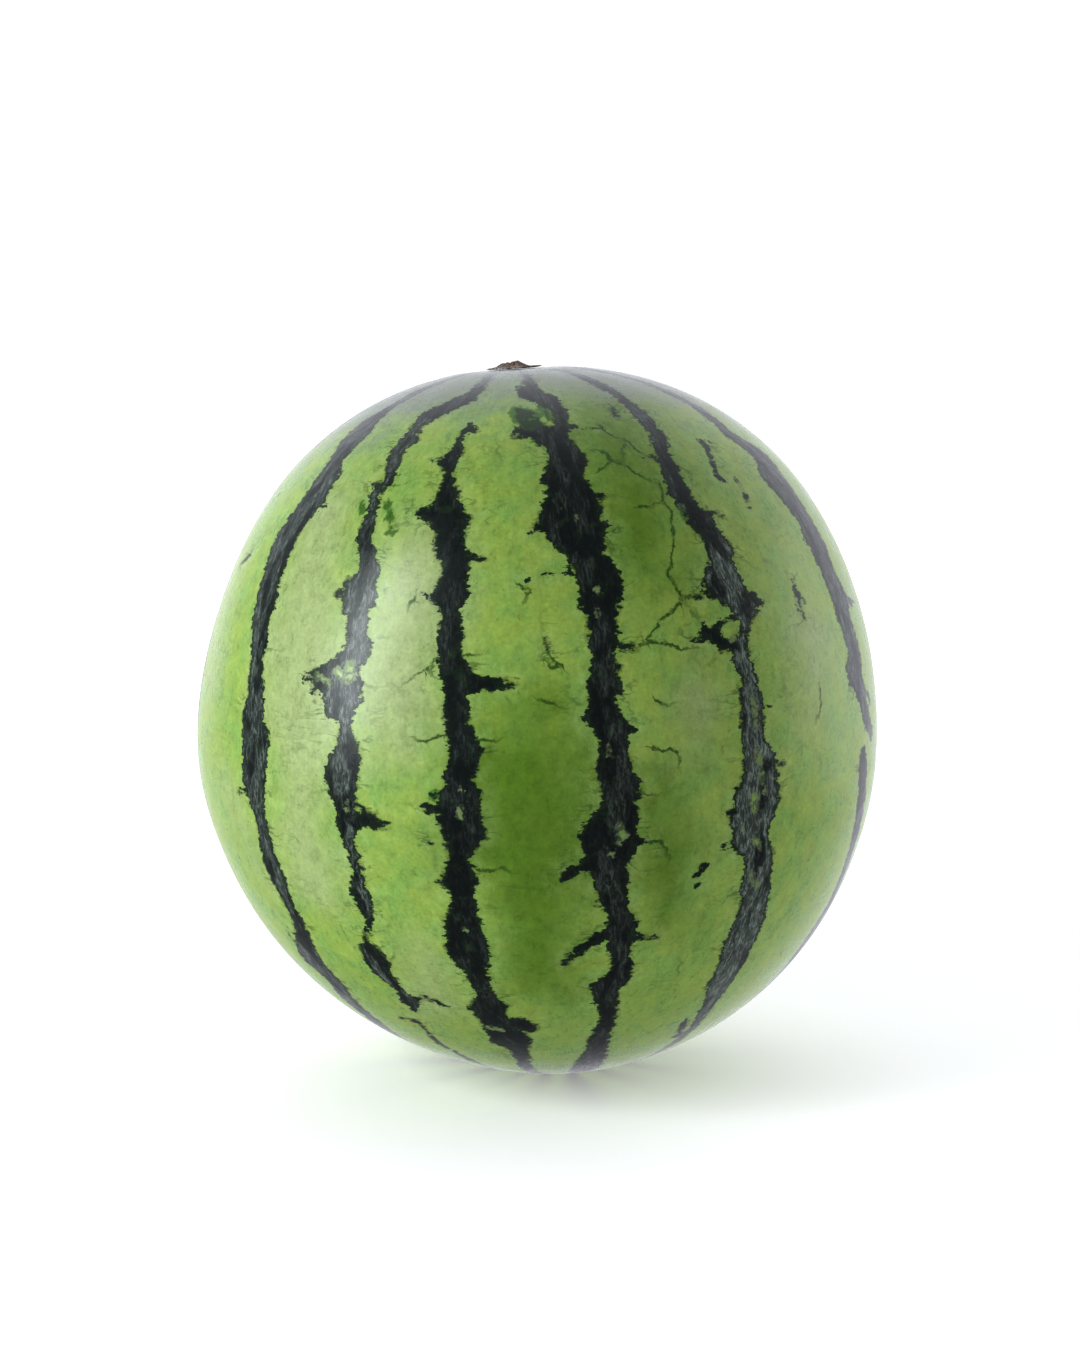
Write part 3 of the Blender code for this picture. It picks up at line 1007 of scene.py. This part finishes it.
def colour_property(name, description, default):
    """A setting that is a colour, in linear light."""
    return bpy.props.FloatVectorProperty(
        name=name, description=description, subtype="COLOR", size=3, min=0.0, max=1.0, default=default)


def length_property(name, description, default):
    """A setting that is a length, in metres."""
    return bpy.props.FloatProperty(
        name=name, description=description, default=default, unit="LENGTH", subtype="DISTANCE")


def number_property(name, description, default, low=0.0, high=1.0):
    """A setting that is a number between two limits."""
    return bpy.props.FloatProperty(
        name=name, description=description, default=default, min=low, max=high)


def count_property(name, description, default, low, high):
    """A setting that is a whole number between two limits."""
    return bpy.props.IntProperty(
        name=name, description=description, default=default, min=low, max=high)


class MelonRindSettings(bpy.types.PropertyGroup):
    columns: count_property("Columns", "Points round the rind", 400, 64, 420)
    rows: count_property("Rows", "Rings from the stem end to the blossom end", 243, 48, 244)
    front_crowding: number_property(
        "Front crowding", "How much closer the columns are on the marked side", 0.38, 0.0, 0.8)
    raggedness: number_property("Raggedness", "How torn the stripes' edges are", 1.0, 0.0, 3.0)
    vein_depth: number_property("Vein depth", "How strongly the faint twigs show", 0.55)
    gloss_roughness: number_property("Roughness", "Roughness of the waxy skin", 0.30, 0.05)
    bloom: number_property("Bloom", "Waxy bloom that shows at a slant", 0.18)
    bloom_tint: colour_property("Bloom tint", "Bluish white of the bloom", (0.84, 0.83, 1.0))
    ground_colour: colour_property("Ground", "Green between the stripes", (0.232, 0.372, 0.094))
    olive_colour: colour_property("Olive", "Yellower green in the ground", (0.290, 0.398, 0.088))
    # Pale and deep are partly the ground's own tones and partly painted light and painted shade
    pale_colour: colour_property("Pale", "Pale green of the lighter ground", (0.330, 0.405, 0.185))
    deep_and_shade_colour: colour_property("Deep", "Deep green of the darker ground", (0.104, 0.203, 0.008))
    # A painted reflection: the grey haze round the stem
    crown_reflection_colour: colour_property(
        "Crown", "Greyish green of the skin round the stem", (0.165, 0.182, 0.168))
    halo_colour: colour_property("Halo", "Pale grey-green along the stripes", (0.350, 0.430, 0.210))
    vein_colour: colour_property("Veins", "Fine veins and specks on the ground", (0.036, 0.092, 0.007))
    moss_colour: colour_property("Blotches", "Mottled mid-green blotches", (0.034, 0.125, 0.003))
    fringe_colour: colour_property("Fringe", "Dark green beside the stripes", (0.016, 0.042, 0.012))
    stripe_colour: colour_property(
        "Stripes", "Near-black green of the stripes", (0.0024, 0.0080, 0.0066))
    streak_colour: colour_property("Streaks", "Light streaks inside the stripes", (0.235, 0.290, 0.240))
    hole_colour: colour_property(
        "Gaps", "Dull green of the gaps inside the stripes", (0.175, 0.240, 0.100))


class MelonStemSettings(bpy.types.PropertyGroup):
    columns: count_property("Columns", "Points round the stub", 160, 24, 400)
    foot_radius: length_property("Foot radius", "Half the flared foot's width", 0.0092)
    foot_edge: length_property("Foot edge", "Thickness of the foot at its rim", 0.0006)
    neck_radius: length_property("Neck radius", "Half the neck's width", 0.0046)
    neck_height: length_property("Neck height", "Height of the neck above the rind", 0.0015)
    top_radius: length_property("Top radius", "Half the broken top's width", 0.0038)
    top_height: length_property("Top height", "Height of the broken top above the rind", 0.0022)
    top_shift: length_property("Top shift", "How far the top stands left of the foot's middle", 0.0018)
    cork_colour: colour_property("Cork", "Brown of the dry stub", (0.215, 0.155, 0.115))
    pale_colour: colour_property("Pale", "Straw colour of the fibres", (0.390, 0.310, 0.230))
    ash_colour: colour_property("Ash", "Grey of the weathered foot", (0.560, 0.540, 0.500))
    crack_colour: colour_property("Cracks", "Dark brown in the cracks", (0.050, 0.030, 0.020))


class MelonStageSettings(bpy.types.PropertyGroup):
    camera_distance: length_property("Camera distance", "From the middle of the fruit", 0.97)
    camera_rise: bpy.props.FloatProperty(
        name="Camera rise", description="How far above level the camera looks from",
        default=math.radians(8.5), subtype="ANGLE")
    floor_radius: length_property("Floor radius", "Half the floor's width", 3.5)
    floor_colour: colour_property("Floor", "Pale floor", (0.86, 0.86, 0.86))
    floor_glow: number_property("Floor glow", "Light that the floor adds of its own", 0.75, 0.0, 10.0)
    key_power: number_property(
        "Key light", "Power of the soft light on the left, in watts", 21.5, 0.0, 1000.0)
    fill_power: number_property(
        "Fill light", "Power of the soft light on the right, in watts", 4.5, 0.0, 1000.0)
    contrast: number_property(
        "Contrast", "Gamma of the picture, where less gives more contrast", 0.76, 0.5, 1.5)
    sky_front: number_property("Room in front", "Brightness behind the camera", 0.33, 0.0, 10.0)
    sky_back: number_property("Room behind", "Brightness behind the melon", 1.6, 0.0, 10.0)


class MELON_OT_rind(bpy.types.Operator):
    """Builds the fruit's rind with its stripes"""
    bl_idname = "melon.rind"
    bl_label = "Build rind"

    def execute(self, context):
        look = context.scene.melon_rind
        stage = context.scene.melon_stage
        turn = np.arange(look.columns) * 2.0 * math.pi / look.columns
        around = turn - look.front_crowding * np.sin(turn)
        down = np.arange(1, look.rows + 1) * math.pi / (look.rows + 1)
        rings = rind_points(down[:, None], around[None, :])
        poles = rind_points(np.array([math.pi, 0.0]), np.array([0.0, 0.0]))
        mesh, points = grid_mesh("rind", rings, poles[0], poles[1])
        points[:, 2] = np.maximum(points[:, 2], 0.0)
        mesh.vertices.foreach_set("co", points.astype(np.float32).ravel())
        mesh.update()
        depth, streaking = depth_in_strokes(points, dark_strokes(stage))
        across, strength = vein_fields(points, unit(points - CENTRE), vein_strokes(stage))
        rounds = np.concatenate([np.tile(around, look.rows), [0.0, 0.0]])
        downs = np.concatenate([np.repeat(down, look.columns), [0.0, math.pi]])
        put_attributes(mesh, {
            "stripe_depth": depth / MM,
            "gap_depth": pixel_depth(points, LIGHT_GAPS, stage),
            "streaking": streaking,
            "blotch_depth": pixel_depth(points, BLOTCHES, stage),
            "deep_and_shade_depth": pixel_depth(points, DEEP_GROUND_AND_SHADE, stage, TONE_REACH),
            "pale_and_light_depth": pixel_depth(points, PALE_GROUND_AND_LIGHT, stage, TONE_REACH),
            "vein_across": across / MM,
            "vein_strength": strength,
            "run": np.column_stack([np.sin(rounds), -np.cos(rounds), -downs]) * EQUATOR_RADIUS,
        })
        add_piece("rind", mesh, rind_material(look), "root", "fruit")
        return {"FINISHED"}


class MELON_OT_stem(bpy.types.Operator):
    """Builds the dry stub of the stalk"""
    bl_idname = "melon.stem"
    bl_label = "Build stalk stub"

    def execute(self, context):
        look = context.scene.melon_stem
        around = np.arange(look.columns) * 2.0 * math.pi / look.columns
        random = np.random.default_rng(STEM_SEED)
        spike = np.clip(np.sin(around), 0.0, 1.0) ** 2
        foot, edge = look.foot_radius, look.foot_edge * (1.0 - 0.5 * spike)
        neck, tip = look.neck_radius, look.top_radius
        fall = look.top_height - edge
        top = look.top_height * (1.0 + TOP_SLANT * np.sin(around))
        top = top + wobble(around, random, 9) * TOP_SHRED * MM
        curl = FOOT_CURL * MM * spike
        shred = 1.0 + FOOT_SHRED * wobble(around, random, 13)
        gap = STEM_GAP
        rim = gap + edge
        # Outline as radius and height: under the foot, over its rim, up the neck, into the broken top
        profile = [
            (0.35 * foot, gap), (0.60 * foot, gap), (0.85 * foot, gap + 0.3 * curl),
            (foot * shred, gap + curl), (1.01 * foot * shred, gap + 0.5 * edge + curl),
            (0.98 * foot * shred, rim + curl), (0.86 * foot, rim + 0.04 * fall + 0.4 * curl),
            (0.72 * foot, rim + 0.12 * fall), (0.62 * foot, rim + 0.26 * fall),
            (neck * 1.08, rim + 0.46 * fall), (neck, gap + look.neck_height), (tip, gap + 0.90 * top),
            (0.90 * tip, gap + top), (0.70 * tip, gap + 0.97 * top),
            (0.44 * tip, gap + top - 0.2 * MM), (0.25 * tip, gap + top - 0.7 * MM),
        ]
        rings = []
        for radius, height in profile:
            uneven = 1.0 + UNEVENNESS * wobble(around, random, 17)
            ridged = radius * (1.0 + RIDGE_DEPTH * np.cos(STALK_RIDGES * around)) * uneven
            ring = rind_points(ridged / RISE_TO_STEM_END, around)
            ring[:, 2] += height
            ring[:, 0] -= look.top_shift * np.clip((height - gap - edge) / fall, 0.0, 1.0)
            rings.append(ring)
        rings = np.array(rings[::-1])
        mesh, points = grid_mesh("stalk_stub", rings, rings[-1].mean(axis=0), rings[0].mean(axis=0))
        middle = 0.5 * (STEM_LOW + STEM_HIGH)
        out = points[:, :2] - middle[:2]
        turn = np.arctan2(out[:, 1], out[:, 0])
        rise = points[:, 2] - STEM_LOW[2]
        reach = np.hypot(out[:, 0], out[:, 1]) + rise
        fibre = np.column_stack([np.cos(turn) * 0.005, np.sin(turn) * 0.005, reach])
        put_attributes(mesh, {"fibre": fibre, "rise": rise / MM})
        add_piece("stalk_stub", mesh, stem_material(look), "root", "stem")
        return {"FINISHED"}


def add_light(name, place, size, colour, power):
    """A soft rectangle of light that shines at the middle of the fruit."""
    turn, up, distance = math.radians(place[0]), math.radians(place[1]), place[2]
    way = Vector((math.cos(up) * math.sin(turn), -math.cos(up) * math.cos(turn), math.sin(up)))
    light = bpy.data.lights.new(name, "AREA")
    light.shape = "RECTANGLE"
    light.size, light.size_y = size
    light.energy = power
    light.color = colour
    lamp = bpy.data.objects.new(name, light)
    lamp.location = Vector(MIDDLE) + distance * way
    lamp.rotation_euler = (-way).to_track_quat("-Z", "Y").to_euler()
    bpy.context.scene.collection.objects.link(lamp)


def studio_room(stage):
    """A soft room that is pale behind and above the melon and dim on the camera's side: its light
    grows smoothly with how far a direction points towards ROOM_BRIGHT."""
    room = Paint(bpy.data.worlds.new("studio_room"), "Background")
    direction = room.node("ShaderNodeTexCoord", {}, {}, "Generated")
    sockets = {0: direction, 1: Vector(ROOM_BRIGHT).normalized()}
    lean = room.node("ShaderNodeVectorMath", {"operation": "DOT_PRODUCT"}, sockets, "Value")
    strength = stage.sky_front + (stage.sky_back - stage.sky_front) * lean.rise(0.08, 0.85)
    bpy.context.scene.world = room.finish({"Color": ROOM_COLOUR, "Strength": strength})


class MELON_OT_stage(bpy.types.Operator):
    """Builds the floor, the lights and the camera"""
    bl_idname = "melon.stage"
    bl_label = "Build stage"

    def execute(self, context):
        stage = context.scene.melon_stage
        bpy.ops.mesh.primitive_circle_add(vertices=96, radius=stage.floor_radius, fill_type="NGON")
        floor = context.object
        floor.name = "floor"
        floor.data.materials.append(floor_material(stage))
        floor.visible_glossy = False
        bpy.ops.mesh.primitive_uv_sphere_add(segments=64, ring_count=32, radius=BACKDROP_RADIUS)
        backdrop = context.object
        backdrop.name = "backdrop"
        backdrop.data.materials.append(backdrop_material())
        for ray in ("visible_diffuse", "visible_glossy", "visible_transmission", "visible_shadow"):
            setattr(backdrop, ray, False)
        for name, power in (("key_light", stage.key_power), ("fill_light", stage.fill_power)):
            add_light(name, *LIGHTS[name], power)
        studio_room(stage)
        place, _, _, forward = photo_camera(stage)
        camera = bpy.data.objects.new("camera", bpy.data.cameras.new("camera"))
        context.scene.collection.objects.link(camera)
        camera.data.sensor_fit = "VERTICAL"
        camera.data.sensor_height = 36.0
        camera.data.lens = FOCAL_PIXELS / PHOTO_HEIGHT * camera.data.sensor_height
        camera.data.clip_start = 0.01
        camera.location = place
        camera.rotation_euler = Vector(forward).to_track_quat("-Z", "Y").to_euler()
        context.scene.camera = camera
        context.scene.view_settings.view_transform = "Standard"
        context.scene.view_settings.gamma = stage.contrast
        return {"FINISHED"}


class MELON_PT_panel(bpy.types.Panel):
    """Lists the melon's pieces and their settings"""
    bl_idname = "MELON_PT_panel"
    bl_label = "Striped watermelon"
    bl_space_type = "VIEW_3D"
    bl_region_type = "UI"
    bl_category = "Melon"

    def draw(self, context):
        for operator, settings in PIECES:
            group = getattr(context.scene, settings)
            box = self.layout.box()
            box.operator(operator)
            for name in group.__annotations__:
                box.prop(group, name)


PIECES = [("melon.rind", "melon_rind"), ("melon.stem", "melon_stem"), ("melon.stage", "melon_stage")]
SETTINGS = {
    "melon_rind": MelonRindSettings,
    "melon_stem": MelonStemSettings,
    "melon_stage": MelonStageSettings,
}
CLASSES = [*SETTINGS.values(), MELON_OT_rind, MELON_OT_stem, MELON_OT_stage, MELON_PT_panel]


def register():
    for made in CLASSES:
        bpy.utils.register_class(made)
    for name, group in SETTINGS.items():
        setattr(bpy.types.Scene, name, bpy.props.PointerProperty(type=group))


def unregister():
    for name in SETTINGS:
        delattr(bpy.types.Scene, name)
    for made in reversed(CLASSES):
        bpy.utils.unregister_class(made)


def main():
    register()
    bpy.ops.melon.rind()
    bpy.ops.melon.stem()
    bpy.ops.melon.stage()


if __name__ == "__main__":
    main()
